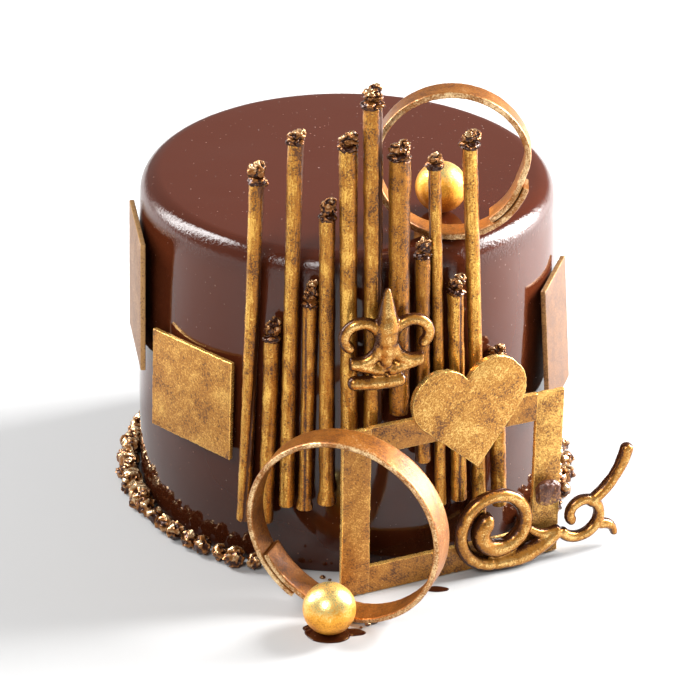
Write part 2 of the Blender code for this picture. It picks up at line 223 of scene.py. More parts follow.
# Glaze: the fades and the dull band are levels above the base, in metres
# The darker foot colour is painted shade, standing in for the dark ground that the low wall
# reflects. The top colour is painted darker than the wall, painted shade that offsets the stronger
# light from above
glaze = dict(
    top=(0.049, 0.0092, 0.0030), wall=(0.065, 0.0138, 0.0049), foot=(0.029, 0.0063, 0.0022),
    footShadeFade=(0.0, 0.095), topShadeFade=(0.112, 0.1277), cloud=0.05,
    speck=(0.40, 0.25, 0.18), speckScale=560.0, speckSize=0.17, speckTint=0.22,
    pinholeScale=95.0, pinholeSize=0.045, pinholeTint=0.7,
    dullFrom=(0.114, 0.120), dullTo=(0.1245, 0.1276),
    wave=0.030, waveDepth=0.0009, ripple=0.0035, skin=0.0010, skinDepth=0.00010,
)


def glazeFinish():
    finish = Finish("glaze", IOR=1.5, Specular_IOR_Level=0.44)
    height = finish.node("ShaderNodeSeparateXYZ", None, {0: finish.place()}, "Z")
    risen = height + (finish.grain(glaze["cloud"], 3) - 0.5) * 0.06
    # painted shade: the colour darkens towards the foot and is set darker on the top
    colour = finish.blend(finish.band(risen, *glaze["footShadeFade"]), glaze["foot"], glaze["wall"])
    colour = finish.blend(finish.band(height, *glaze["topShadeFade"]), colour, glaze["top"])
    specks = finish.dots(glaze["speckScale"], "Red", 3.0, glaze["speckSize"])
    colour = finish.blend(specks * glaze["speckTint"], colour, glaze["speck"])
    pinholes = finish.dots(glaze["pinholeScale"], "Green", 9.0, glaze["pinholeSize"])
    colour = finish.blend(pinholes * glaze["pinholeTint"], colour, glaze["foot"])
    # the shoulder has set a little duller than the rest, with a finely pitted skin
    shoulder = finish.band(height, *glaze["dullFrom"]) * (1 - finish.band(height, *glaze["dullTo"]))
    skin = finish.grain(glaze["skin"], 3, 0.6) * (shoulder * 3.0 + 0.1)
    flow = finish.relief(finish.grain(glaze["wave"], 1.5, 0.4), glaze["waveDepth"], 0.5)
    ripples = finish.grain(glaze["ripple"], 2)
    normal = finish.relief(specks + ripples * 0.35 + skin, glaze["skinDepth"], 0.6, flow)
    roughness = finish.grain(0.012, 3) * 0.08 + 0.03 + specks * 0.2 + shoulder * 0.07
    return finish.feed(Base_Color=colour, Roughness=roughness, Normal=normal)


# Gold dust is brushed over chocolate: a piece's attribute says how much dust its relief has caught,
# and on some pieces it also carries painted light: painted shade on flanks, undersides and creases,
# painted highlights on tops, crests and rims.
# Mix is how far clouds, brush streaks and grit change that. Flaws are spots that the brush skipped,
# and patchy gathers them where the cloud is thin
golds = {
    "stick": dict(
        bareAndShade=(0.055, 0.0140, 0.0026), gold=(0.37, 0.138, 0.0130), brightAndHighlight=(0.89, 0.52, 0.112),
        cloud=0.0100, streak=0.0006, stretch=(1, 1, 0.09), mix=(0.82, 0.9, 0.9), flaws=0.80,
        patchy=0.7, pits=0.00006, metal=(0.3, 0.60, 0.88), rough=(0.22, 0.34)),
    "plate": dict(
        bareAndShade=(0.070, 0.021, 0.005), gold=(0.40, 0.166, 0.027), brightAndHighlight=(0.90, 0.54, 0.145),
        cloud=0.0100, streak=0.0006, stretch=(1, 1, 0.25), turn=(0, -0.9, 0), mix=(0.9, 1.0, 0.9),
        flaws=0.70, patchy=0.7, pits=0.00008, metal=(0.2, 0.45, 0.78), rough=(0.26, 0.40)),
    # a darker gold for the side plaques, painted shade that offsets the side lights falling full on
    # them
    "sidePlate": dict(
        bareAndShade=(0.060, 0.020, 0.007), gold=(0.175, 0.077, 0.027), brightAndHighlight=(0.40, 0.220, 0.080),
        cloud=0.0100, streak=0.0006, stretch=(1, 1, 0.4), mix=(0.6, 0.7, 1.1), flaws=0.75,
        patchy=0.3, pits=0.00008, metal=(0.1, 0.30, 0.55), rough=(0.36, 0.50)),
    "heart": dict(
        bareAndShade=(0.095, 0.029, 0.005), gold=(0.43, 0.182, 0.028), brightAndHighlight=(0.84, 0.53, 0.158),
        cloud=0.0110, streak=0.0006, stretch=(1, 1, 0.07), turn=(0, 1.0, 0), mix=(1.0, 1.1, 1.3),
        flaws=0.75, patchy=0.8, pits=0.00008, metal=(0.2, 0.5, 0.8), rough=(0.25, 0.40)),
    "strip": dict(
        bareAndShade=(0.090, 0.024, 0.004), gold=(0.30, 0.104, 0.014), brightAndHighlight=(0.94, 0.69, 0.37),
        cloud=0.0100, streak=0.0009, mix=(1.0, 0.7, 0.8), flaws=0.3,
        patchy=0.3, pits=0.00008, metal=(0.3, 0.5, 0.8), rough=(0.26, 0.40)),
    "ball": dict(
        bareAndShade=(0.58, 0.19, 0.014), gold=(0.90, 0.41, 0.042), brightAndHighlight=(1.0, 0.78, 0.30),
        cloud=0.0055, streak=0.0008, mix=(1.0, 0.6, 0.9), flaws=0.3,
        patchy=0.3, pits=0.00006, metal=(0.6, 0.7, 0.9), rough=(0.26, 0.42)),
    "nugget": dict(
        bareAndShade=(0.036, 0.0090, 0.0028), gold=(0.28, 0.104, 0.022), brightAndHighlight=(1.0, 0.76, 0.45),
        cloud=0.0030, streak=0.0007, mix=(0.5, 0.4, 0.4), flaws=0.0,
        patchy=0.0, pits=0.00005, metal=(0.40, 0.6, 0.88), rough=(0.11, 0.18)),
    "piping": dict(
        bareAndShade=(0.055, 0.015, 0.0035), gold=(0.44, 0.175, 0.022), brightAndHighlight=(1.0, 0.66, 0.24),
        cloud=0.0070, streak=0.0010, mix=(0.8, 0.5, 0.8), flaws=0.55,
        patchy=0.4, pits=0.00004, metal=(0.4, 0.65, 0.92), rough=(0.14, 0.25)),
    "mauve": dict(
        bareAndShade=(0.070, 0.022, 0.012), gold=(0.21, 0.080, 0.028), brightAndHighlight=(0.90, 0.52, 0.14),
        cloud=0.0030, streak=0.0009, mix=(1.6, 1.4, 1.5), flaws=0.2,
        patchy=0.0, pits=0.00016, metal=(0.1, 0.3, 0.7), rough=(0.18, 0.30)),
}
brush = dict(grit=0.00055, skip=0.0008, missed=(0.34, 0.44), coveredAndLit=(0.12, 0.52),
             polishAndHighlight=(0.52, 1.02))


def goldFinish(name, look):
    finish = Finish(name + " gold")
    stretch, turn = look.get("stretch", (1, 1, 1)), look.get("turn", (0, 0, 0))
    dustAndLight = finish.attribute("dustAndLight")
    cloud = finish.grain(look["cloud"], 4, 0.6, distortion=0.6)
    streak = finish.grain(look["streak"], 4, 0.7, stretch, turn)
    grit = finish.grain(brush["grit"], 2, 0.6)
    skipped = finish.grain(brush["skip"], 2, 0.6) + (cloud - 0.5) * look["patchy"]
    kept = 1 - (1 - finish.band(skipped, *brush["missed"])) * look["flaws"]
    clouds, streaks, grits = look["mix"]
    caughtAndLit = dustAndLight + (cloud - 0.5) * clouds + (streak - 0.5) * streaks + (grit - 0.5) * grits
    coveredAndLit = finish.band(caughtAndLit, *brush["coveredAndLit"]) * kept
    polishAndHighlight = finish.band(caughtAndLit, *brush["polishAndHighlight"]) * kept
    # where the attribute carries painted light, the bare colour serves as painted shade and the
    # bright one as a painted highlight
    colour = finish.blend(coveredAndLit, look["bareAndShade"], look["gold"])
    colour = finish.blend(polishAndHighlight, colour, look["brightAndHighlight"])
    dark, dull, shiny = look["metal"]
    smooth, coarse = look["rough"]
    metallic = coveredAndLit * (dull - dark) + polishAndHighlight * (shiny - dull) + dark
    roughness = (1 - polishAndHighlight) * (coarse - smooth) + smooth
    normal = finish.relief(grit + streak * 0.9 + cloud * 0.8, look["pits"], 0.9)
    return finish.feed(Base_Color=colour, Metallic=metallic, Roughness=roughness, Normal=normal)


finishes = {name: goldFinish(name, look) for name, look in golds.items()}
finishes["glaze"] = glazeFinish()
print("finishes ready")


def keepPiece(bm, name, finishName, replaced):
    bmesh.ops.recalc_face_normals(bm, faces=bm.faces)
    mesh = bpy.data.meshes.new(name)
    bm.to_mesh(mesh)
    bm.free()
    mesh.shade_smooth()
    mesh.set_sharp_from_angle(angle=radians(50))
    piece = bpy.data.objects.new(name, mesh)
    piece.data.materials.append(finishes[finishName])
    bpy.context.scene.collection.objects.link(piece)
    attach(piece, "root")
    if replaced:
        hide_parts(*replaced)


def newDusted():
    bm = bmesh.new()
    return bm, bm.verts.layers.float.new("dustAndLight")


def wrappedGrid(stations, segments, pointAt, dustAndLightAt=None):
    # a grid rolled into a tube: pointAt(along, around) with both from 0 to 1
    bm, layer = newDusted()
    bmesh.ops.create_grid(bm, x_segments=stations, y_segments=segments, size=0.5)
    for vert in bm.verts:
        along, around = vert.co.x + 0.5, vert.co.y + 0.5
        vert[layer] = dustAndLightAt(along, around) if dustAndLightAt else 1.0
        vert.co = pointAt(along, around)
    bmesh.ops.remove_doubles(bm, verts=bm.verts, dist=0.000001)
    bmesh.ops.holes_fill(bm, edges=bm.edges, sides=0)
    return bm


# Cake body: the same wall and shoulder as the solid, in fine steps and with a hand-poured waver
cakeBody = dict(height=127.7, radius=79.2, straightTo=70, taper=0.00085, shoulder=8, foot=0.8,
                topSteps=14, shoulderSteps=24, wallSteps=39, around=256, waver=0.00022)


def wallRadius(level):
    rise = max(0, level - cakeBody["straightTo"])
    return cakeBody["radius"] - cakeBody["taper"] * rise * rise


def makeCake():
    height, shoulder, foot = cakeBody["height"], cakeBody["shoulder"], cakeBody["foot"]
    topSteps, shoulderSteps = cakeBody["topSteps"], cakeBody["shoulderSteps"]
    shoulderLevel = height - shoulder
    middle = wallRadius(shoulderLevel) - shoulder
    profile = [(middle * step / topSteps, height) for step in range(topSteps)]
    for step in range(shoulderSteps + 1):
        turn = pi / 2 * (1 - step / shoulderSteps)
        profile.append((middle + shoulder * cos(turn), shoulderLevel + shoulder * sin(turn)))
    for step in range(1, cakeBody["wallSteps"] + 1):
        level = shoulderLevel + (foot - shoulderLevel) * step / cakeBody["wallSteps"]
        profile.append((wallRadius(level), level))
    profile += [(wallRadius(0) - foot * 0.3, foot * 0.3), (wallRadius(0) - foot, 0), (0, 0)]
    bm = bmesh.new()
    corners = [bm.verts.new((x * mm, 0, z * mm)) for x, z in profile]
    edges = [bm.edges.new(pair) for pair in zip(corners, corners[1:])]
    bmesh.ops.spin(bm, geom=corners + edges, axis=(0, 0, 1), cent=(0, 0, 0), angle=2 * pi,
                   steps=cakeBody["around"], use_merge=True)
    bmesh.ops.remove_doubles(bm, verts=bm.verts, dist=0.00001)
    for vert in bm.verts:
        away = Vector((vert.co.x, vert.co.y, 0))
        # the foot and the middle of the top stay as they are
        if vert.co.z > 2 * mm and away.length > 70 * mm:
            push = waver(vert.co, 22, 3.1) * cakeBody["waver"]
            vert.co += away.normalized() * push
    keepPiece(bm, "glazedCake", "glaze", ["cake"])


makeCake()
print("cake body made")


# Rolled sticks. A row is angle, sideways lean, bottom, top, diameter and how wide the foot is, then
# the tip's width, its height and how far it leans aside
sticks = dict(
    clearance=1.3, leanLevel=50, leanIn=0.0314, tipGap=0.45, rim=0.45, lap=0.12,
    stations=128, around=40,
    seams={1: (0.06, 0.28), 4: (0.02, -0.10), 7: (0.10, 0.02), 11: (0.93, 0.10)},
    lessDust={5: 0.06, 6: 0.01, 7: 0.12, 8: 0.16, 9: 0.22, 10: 0.06},
    rows=(
        (-24.9, 1.5, 20.5, 155.0, 5.4, 1.05, 6.9, 8.8, -0.6),
        (-19.1, 1.4, 22.0, 96.0, 5.9, 1.05, 6.6, 9.6, 0.2),
        (-13.9, 0.7, 30.0, 172.0, 5.6, 1.05, 6.9, 5.2, 0.0),
        (-9.3, 0.7, 29.5, 111.0, 5.1, 1.28, 6.3, 9.4, 0.0),
        (-4.1, -0.5, 32.5, 144.5, 5.6, 1.25, 6.7, 8.1, 0.0),
        (1.6, -0.9, 30.0, 171.0, 6.4, 1.05, 7.6, 6.8, 0.0),
        (7.3, -0.7, 59.0, 186.5, 6.9, 1.00, 8.0, 9.2, 0.0),
        (13.7, -0.6, 69.0, 167.0, 7.8, 0.90, 8.0, 8.0, 0.0),
        (20.2, -0.9, 47.5, 128.5, 5.6, 1.05, 6.4, 8.8, 0.0),
        (24.9, -1.8, 28.0, 161.5, 4.5, 1.05, 6.4, 5.8, 0.0),
        (29.9, -1.9, 28.5, 112.5, 5.9, 1.02, 7.0, 7.6, 0.0),
        (35.9, -2.6, 14.5, 167.0, 5.3, 0.80, 7.2, 7.0, -0.8),
        (42.4, -2.1, 20.0, 81.0, 6.1, 1.00, 6.8, 6.2, 0.0),
    ),
)


def stickAxis(row):
    angle, lean, bottom, top, diameter = row[:5]
    distance = cakeBody["radius"] + sticks["clearance"] + diameter / 2
    along = Vector((cos(radians(angle)), sin(radians(angle)), 0))
    ends = []
    for level in (bottom, top):
        rise = level - sticks["leanLevel"]
        spot = outward(angle) * (distance - rise * sticks["leanIn"])
        ends.append((spot + along * rise * tan(radians(lean)) + Vector((0, 0, level))) * mm)
    return ends


def crowded(along):
    # stations crowd near both ends, where the stick is rounded
    return along - sin(2 * pi * along) * 0.13


def makeStick(number, row):
    low, high = stickAxis(row)
    radius, foot = row[4] / 2 * mm, row[5]
    length = (high - low).length
    ahead = (high - low).normalized()
    front = outward(row[0])
    front = (front - ahead * front.dot(ahead)).normalized()
    side = ahead.cross(front)
    rng = random.Random(number * 17)
    seam, twist = sticks["seams"].get(number, (rng.uniform(0.2, 0.8), rng.uniform(-0.1, 0.1)))
    bow = rng.uniform(-0.25, 0.25) * mm

    def pastSeam(part, around):
        return (around - seam - twist * part) % 1.0

    def lapAt(turned, width):
        return exp(-(min(turned, 1 - turned) / width) ** 2)

    def pointAt(along, around):
        part = crowded(along)
        end = min(part, 1 - part) * length
        edge = min(end / (sticks["rim"] * mm), 1)
        widening = 1 + (foot - 1) * (1 - eased(part / 0.06)) + 0.03 * eased((part - 0.55) / 0.45)
        widening -= 0.02 * sin(pi * part)
        # the sheet's end lies on the turn below it, with a groove beside it
        turned = pastSeam(part, around)
        wrap = 1 - 0.05 * (1 - turned) - sticks["lap"] * lapAt(turned, 0.030)
        angle = around * 2 * pi
        spread = front * cos(angle) + side * sin(angle)
        spine = low + ahead * length * part + side * bow * sin(pi * part)
        rough = 1 + 0.06 * waver(spine + spread * radius * 0.6, 170, number)
        rough += 0.03 * waver(spine + spread * radius, 700, number * 2)
        # a few fine cracks run round it
        ring = abs(noise.noise(Vector((part * length * 190, number * 3.0, 0))))
        rough -= 0.03 * exp(-(ring / 0.05) ** 2)
        rounding = 0.80 + 0.20 * sqrt(max(0, 1 - (1 - edge) ** 2))
        spot = spine + spread * radius * widening * wrap * rough * rounding
        if part > 0.995:
            spot += ahead * waver(spread, 2.2, number) * 0.35 * mm
        return spot

    def dustAndLightAt(along, around):
        # the brush has caught the front and the flanks stay chocolate; the right flank is painted
        # darker as painted shade, the front left brightest as a painted highlight, and the seam is
        # darker
        facing = cos(around * 2 * pi) - 0.5 * sin(around * 2 * pi)
        lap = lapAt(pastSeam(crowded(along), around), 0.034)
        return 0.31 + 0.36 * facing - 0.60 * lap - sticks["lessDust"].get(number, 0)

    bm = wrappedGrid(sticks["stations"], sticks["around"], pointAt, dustAndLightAt)
    keepPiece(bm, f"rolledStick{number:02d}", "stick", [f"stick_{number:02d}"])


for number, row in enumerate(sticks["rows"], 1):
    makeStick(number, row)
print("sticks made")


# Crushed nuggets: lobes with deep creases between them, as on a walnut
def addNugget(bm, layer, middle, half, rng, fineness, crease, lobes):
    spin = Matrix.Rotation(rng.uniform(0, 2 * pi), 3, "Z")
    turn = spin @ Matrix.Rotation(rng.uniform(-0.6, 0.6), 3, "X")
    seed = rng.uniform(0, 90)
    for vert in bmesh.ops.create_icosphere(bm, subdivisions=fineness, radius=1)["verts"]:
        spot = vert.co.copy()
        bend = spot + Vector((waver(spot, 1.1, seed + 9), waver(spot, 1.1, seed + 5), 0)) * 0.5
        broad = min(abs(waver(bend, lobes, seed)) * 4.2, 1)
        fine = min(abs(waver(bend, lobes * 2.4, seed + 7)) * 3.2, 1)
        fold = broad * 0.68 + fine * 0.32
        knob = abs(waver(spot, 0.9, seed + 3)) * 0.35
        reach = 1 - crease * (1 - fold) - knob
        spot = turn @ (spot * reach)
        vert.co = middle + Vector((spot.x * half[0], spot.y * half[1], spot.z * half[2]))
        # painted light: the creases are painted dark as painted shade, the crests bright as painted
        # highlights, and the upper side lighter as painted light from above
        vert[layer] = -0.52 + 1.20 * eased(fold) + 0.25 * spot.z


def makeTip(number, row):
    rng = random.Random(number * 31 + 5)
    high = stickAxis(row)[1]
    width, height, aside = row[6] / 2 * mm, row[7] / 2 * mm, row[8] * mm
    bm, layer = newDusted()
    # a dark crag caps the stick's end, with glossy smaller ones crushed onto it
    middle = high + Vector((0, 0, sticks["tipGap"] * mm + height))
    base = high + Vector((0, 0, 0.7 * mm))
    half = (width * 1.16, width * 1.08, min(height, 2.2 * mm))
    addNugget(bm, layer, base, half, rng, 4, 0.20, 1.1)
    for vert in bm.verts:
        vert[layer] -= 0.22
    if number == 1:
        # the first tip has a small nugget out to its side
        petal = high + Vector((width * 0.72, -width * 0.2, -0.2 * mm))
        addNugget(bm, layer, petal, (width * 0.5, width * 0.3, width * 0.42), rng, 3, 0.2, 0.9)
    for step, rise in enumerate((0.35, -0.30, 0.10, -0.20)):
        angle = step * 1.9 + rng.uniform(0, 0.8)
        out = rng.uniform(0.22, 0.42) * width
        spot = middle + Vector((cos(angle) * out, sin(angle) * out, rise * height))
        size = rng.uniform(0.66, 0.84)
        half = (width * size, width * size * 0.8, height * size * rng.uniform(0.75, 1.0))
        addNugget(bm, layer, spot, half, rng, 4, 0.46, 0.72)
    # it reaches as high as its solid does
    top = max(vert.co.z for vert in bm.verts)
    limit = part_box(f"tip_{number:02d}")[1][2]
    for vert in bm.verts:
        vert[layer] -= 0.10
        if vert.co.z > base.z:
            vert.co.z = base.z + (vert.co.z - base.z) * (limit - base.z) / (top - base.z)
        if aside:
            vert.co.x += aside * max(0, (vert.co.z - middle.z) / height)
    keepPiece(bm, f"nuggetTip{number:02d}", "nugget", [f"tip_{number:02d}"])


for number, row in enumerate(sticks["rows"], 1):
    makeTip(number, row)
print("tips made")


# Curled strips of chocolate
curls = {
    "frontCurl": dict(node="front_ring", radius=36.5, thickness=2.1, width=11.6, start=208,
                      overlap=30, lead=50, x=1.8, y=-106.4, turn=-20.7, floor=0.3),
    "topCurl": dict(node="top_ring", radius=28.3, thickness=2.3, width=9.2, start=305,
                    overlap=39, lead=35, x=36.9, y=-57.2, turn=-2.3, floor=128.0),
}


# How both strips are made: the rounding of their section, the gap where they overlap, the fineness
strip = dict(corner=0.55, gap=0.3, stations=260, around=40)


def slabEdge(around, halfWidth, halfDepth):
    # a point on a rectangle with rounded corners, by its distance round the edge
    corner = strip["corner"]
    wide, deep = 2 * (halfWidth - corner), 2 * (halfDepth - corner)
    quarter = corner * pi / 2
    travelled = around % 1.0 * (2 * (wide + deep) + 4 * quarter)
    x, y, heading = -halfWidth + corner, -halfDepth, 0.0
    for length, isCorner in ((wide, False), (quarter, True), (deep, False), (quarter, True)) * 2:
        step = min(travelled, length)
        if isCorner:
            angle = step / corner
            x += corner * (cos(heading) * sin(angle) - sin(heading) * (1 - cos(angle)))
            y += corner * (sin(heading) * sin(angle) + cos(heading) * (1 - cos(angle)))
            heading += angle
        else:
            x += cos(heading) * step
            y += sin(heading) * step
        travelled -= step
        if travelled <= 1e-12:
            break
    return x, y


def makeCurl(name, curl):
    full = 360 + curl["overlap"]

    def reachAt(turned):
        part = eased((turned - curl["overlap"]) / curl["lead"])
        return curl["radius"] - (curl["thickness"] + strip["gap"]) * (1 - part)

    lowest = min(reachAt(t) * sin(radians(curl["start"] + t)) for t in range(full + 1))
    place = wallPlace(curl["turn"], 0, 0, 0)
    place.translation = Vector((curl["x"], curl["y"], curl["floor"] - lowest)) * mm

    def pointAt(along, around):
        turned = along * full
        angle = radians(curl["start"] + turned)
        halfWidth = curl["width"] / 2
        halfWidth *= 1 - 0.035 * (0.5 + 0.5 * noise.noise(Vector((turned * 0.06, 4.2, 0))))
        end = min(along, 1 - along) * full * radians(1) * curl["radius"]
        halfDepth = curl["thickness"] / 2 * (0.8 + 0.2 * eased(end / 1.2))
        across, depth = slabEdge(around, halfWidth, halfDepth)
        jag = 0.16 * noise.noise(Vector((turned * 0.35, across * 0.2, 8)))
        depth += 0.07 * noise.noise(Vector((turned * 0.22, across * 0.35, 2)))
        across += jag if abs(across) > halfWidth * 0.8 else 0
        reach = reachAt(turned) - curl["thickness"] / 2 + depth
        return place @ (Vector((reach * cos(angle), reach * sin(angle), across)) * mm)

    def dustAndLightAt(along, around):
        # the rims are painted lighter, a painted highlight along the edges
        across = slabEdge(around, curl["width"] / 2, curl["thickness"] / 2)[0]
        rim = 0.30 * eased((abs(across) - curl["width"] / 2 + 0.7) / 0.6)
        return 0.40 + rim

    bm = wrappedGrid(strip["stations"], strip["around"], pointAt, dustAndLightAt)
    keepPiece(bm, name, "strip", [curl["node"]])


for name, curl in curls.items():
    makeCurl(name, curl)
print("curled strips made")


# Gold balls
balls = {
    "frontBall": dict(node="front_ball", radius=9.6, x=-4.2, y=-118.4, floor=0.0, dustAndLight=0.53),
    "topBall": dict(node="top_ball", radius=9.4, x=33.8, y=-36.8, floor=128.0, dustAndLight=0.38),
}


def makeBall(name, ball):
    bm, layer = newDusted()
    bmesh.ops.create_icosphere(bm, subdivisions=6, radius=ball["radius"] * mm)
    middle = Vector((ball["x"], ball["y"], ball["floor"] + ball["radius"])) * mm
    for vert in bm.verts:
        # painted light: lighter on top as a painted highlight and orange-dark underneath as painted
        # shade; the top ball's lower level paints it darker overall, painted shade
        vert[layer] = ball["dustAndLight"] + 0.42 * vert.co.z / (ball["radius"] * mm)
        seam = exp(-((vert.co.z * 0.94 + vert.co.x * 0.34) / (0.35 * mm)) ** 2)
        dent = waver(vert.co, 240, len(name)) * 0.05 + waver(vert.co, 90, 2.0) * 0.08
        vert.co = middle + vert.co * (0.995 - abs(dent) * 0.05 - seam * 0.003)
        vert.co.z = max(vert.co.z, ball["floor"] * mm)
    keepPiece(bm, name, "ball", [ball["node"]])


for name, ball in balls.items():
    makeBall(name, ball)
print("balls made")


# Thin plates: plaques, window frame and heart
plates = dict(
    thickness=1.9, corner=0.30, ragged=0.55, step=0.9, gap=0.3,
    plaques={
        "plaqueFrontLeft": dict(node="plaque_front_left", angle=-41.7, distance=82.2, shift=-1.6,
                                level=63.7, width=40.0, height=39.3, lean=2.2, dustAndLight=0.58,
                                look="plate"),
        "plaqueLeft": dict(node="plaque_left", angle=-80.0, distance=81.2, shift=10.0, level=89.7,
                           width=39.4, height=51.7, lean=1.1, dustAndLight=0.58, look="sidePlate"),
        # the right plaque has less dust, painted darker as painted shade where the right light
        # falls strongest
        "plaqueRight": dict(node="plaque_right", angle=73.6, distance=83.3, shift=-2.5, level=72.2,
                            width=32.0, height=50.8, lean=4.4, dustAndLight=0.36, look="sidePlate"),
    },
    frame=dict(angle=24.3, face=89.2, thickness=2.1, width=88.0, height=68.8, bar=11.2, shift=3.6),
    heart=dict(thickness=2.8, lobe=12.2, offset=10.5, drop=28.2, shift=8.2, level=75.2, lean=8.0,
               roll=4.7, dustAndLight=0.58, lobeSteps=60, sideSteps=20),
)


def makePlate(outline, place, thickness, seed, dustAndLight):
    # the outline in millimetres, a little ragged, is filled, lifted and its rims rounded off
    bm = bmesh.new()
    corners = []
    for x, y in outline:
        pull = plates["ragged"] * abs(noise.noise(Vector((x * 0.45, y * 0.45, seed))))
        pull += plates["ragged"] * 0.5 * abs(noise.noise(Vector((x * 1.3, y * 1.3, seed + 4))))
        away = sqrt(x * x + y * y)
        spot = Vector((x - x / away * pull, y - y / away * pull, -thickness / 2))
        corners.append(bm.verts.new(spot * mm))
    bm.faces.new(corners)
    lifted = bmesh.ops.extrude_face_region(bm, geom=bm.faces[:])["geom"]
    verts = [item for item in lifted if isinstance(item, bmesh.types.BMVert)]
    bmesh.ops.translate(bm, verts=verts, vec=(0, 0, thickness * mm))
    rims = [edge for edge in bm.edges if abs(edge.verts[0].co.z - edge.verts[1].co.z) < 1e-6]
    bmesh.ops.bevel(bm, geom=rims, offset=plates["corner"] * mm, offset_type="OFFSET", segments=3,
                    profile=0.5, affect="EDGES", material=-1, clamp_overlap=True)
    bmesh.ops.recalc_face_normals(bm, faces=bm.faces)
    bm.normal_update()
    layer = bm.verts.layers.float.new("dustAndLight")
    for vert in bm.verts:
        # the face has its own dust and the side next to none; the rounded rim is painted lighter, a
        # painted highlight
        level = abs(vert.co.z) / (thickness / 2 * mm)
        if level > 0.985:
            vert[layer] = dustAndLight
        elif level > 0.68:
            vert[layer] = dustAndLight + 0.45
        else:
            vert[layer] = 0.02
    bmesh.ops.triangulate(bm, faces=bm.faces)
    bmesh.ops.transform(bm, matrix=place, verts=bm.verts)
    return bm


def rectangleEdge(width, height):
    across, up = round(width / plates["step"]), round(height / plates["step"])
    x, y = width / 2, height / 2
    edge = [(-x + width * n / across, -y) for n in range(across)]
    edge += [(x, -y + height * n / up) for n in range(up)]
    edge += [(x - width * n / across, y) for n in range(across)]
    return edge + [(-x, y - height * n / up) for n in range(up)]


def joinInto(target, source):
    mesh = bpy.data.meshes.new("part")
    source.to_mesh(mesh)
    source.free()
    target.from_mesh(mesh)
    bpy.data.meshes.remove(mesh)


def makePlaques():
    thickness = plates["thickness"]
    for seed, (name, spec) in enumerate(plates["plaques"].items()):
        distance = spec["distance"] - thickness / 2
        place = wallPlace(spec["angle"], distance * mm, spec["shift"] * mm, spec["level"] * mm,
                          spec["lean"])
        edge = rectangleEdge(spec["width"], spec["height"])
        bm = makePlate(edge, place, thickness, seed * 9.0, spec["dustAndLight"])
        keepPiece(bm, name, spec["look"], [spec["node"]])


def makeFrame():
    spec = plates["frame"]
    place = wallPlace(spec["angle"], (spec["face"] - spec["thickness"] / 2) * mm,
                      spec["shift"] * mm, (spec["height"] / 2 + plates["gap"]) * mm)
    bar, width, height = spec["bar"], spec["width"], spec["height"]
    # the cross bars run half a millimetre into the uprights and lie a little further back
    crossBar = width - 2 * bar + 1.0
    bars = (
        (-(width - bar) / 2, 0, bar, height, 0.0, 0.50),
        ((width - bar) / 2, 0, bar, height, 0.0, 0.72),
        (0, (height - bar) / 2, crossBar, bar, -0.12, 0.44),
        (0, -(height - bar) / 2, crossBar, bar, -0.16, 0.42),
    )
    bm = bmesh.new()
    for seed, (x, y, wide, high, back, dustAndLight) in enumerate(bars):
        spot = place @ Matrix.Translation(Vector((x, y, back)) * mm)
        edge = rectangleEdge(wide, high)
        joinInto(bm, makePlate(edge, spot, spec["thickness"], 40.0 + seed * 7, dustAndLight))
    keepPiece(bm, "windowFrame", "plate", ["window_frame"])


def heartEdge():
    spec = plates["heart"]
    lobe, offset, drop = spec["lobe"], spec["offset"], spec["drop"]
    lobeSteps, sideSteps = spec["lobeSteps"], spec["sideSteps"]
    notch = atan2(sqrt(lobe ** 2 - offset ** 2), -offset)
    reach = sqrt(offset ** 2 + drop ** 2)
    tangent = atan2(-drop, -offset) + pi / 2 - atan2(lobe, sqrt(reach ** 2 - lobe ** 2))
    right = []
    for step in range(lobeSteps + 1):
        angle = notch + (tangent - notch) * step / lobeSteps
        right.append((offset + lobe * cos(angle), lobe * sin(angle)))
    x, y = right[-1]
    for step in range(1, sideSteps):
        right.append((x * (1 - step / sideSteps), y + (-drop - y) * step / sideSteps))
    return right + [(0, -drop)] + [(-x, y) for x, y in right[:0:-1]]


def makeHeart():
    spec = plates["heart"]
    face, top = plates["frame"]["face"], plates["frame"]["height"]
    gap = plates["gap"]
    # it stands on the frame's upper bar and leans back
    back = face + gap - (spec["level"] - top - gap) * tan(radians(spec["lean"]))
    distance = back + spec["thickness"] / 2 / cos(radians(spec["lean"]))
    place = wallPlace(plates["frame"]["angle"], distance * mm, spec["shift"] * mm,
                      spec["level"] * mm, spec["lean"], spec["roll"])
    bm = makePlate(heartEdge(), place, spec["thickness"], 70.0, spec["dustAndLight"])
    keepPiece(bm, "heartPlate", "heart", ["heart"])


makePlaques()
makeFrame()
makeHeart()
print("plates made")


# Piped flourishes, drawn in millimetres on a plane that touches what they lie against
piping = dict(
    radius=2.6, grain=0.42, bowSteps=12,
    upper=dict(angle=13.0, distance=90.3, middle=-5.8, level=83.0),
    lower=dict(angle=24.3, distance=92.4),
)


def volute(middle, radii, angles, steps):
    points = []
    for step in range(steps + 1):
        part = step / steps
        radius = radii[0] + (radii[1] - radii[0]) * part ** 1.5
        angle = radians(angles[0] + (angles[1] - angles[0]) * part)
        points.append(Vector((middle[0] + radius * cos(angle), middle[1] + radius * sin(angle))))
    return points


def bowed(start, end, bow):
    across = (-(end[1] - start[1]), end[0] - start[0])
    steps = piping["bowSteps"]
    points = []
    for step in range(steps + 1):
        part = step / steps
        rise = bow * 4 * part * (1 - part)
        points.append(Vector((start[0] + (end[0] - start[0]) * part + across[0] * rise,
                              start[1] + (end[1] - start[1]) * part + across[1] * rise)))
    return points


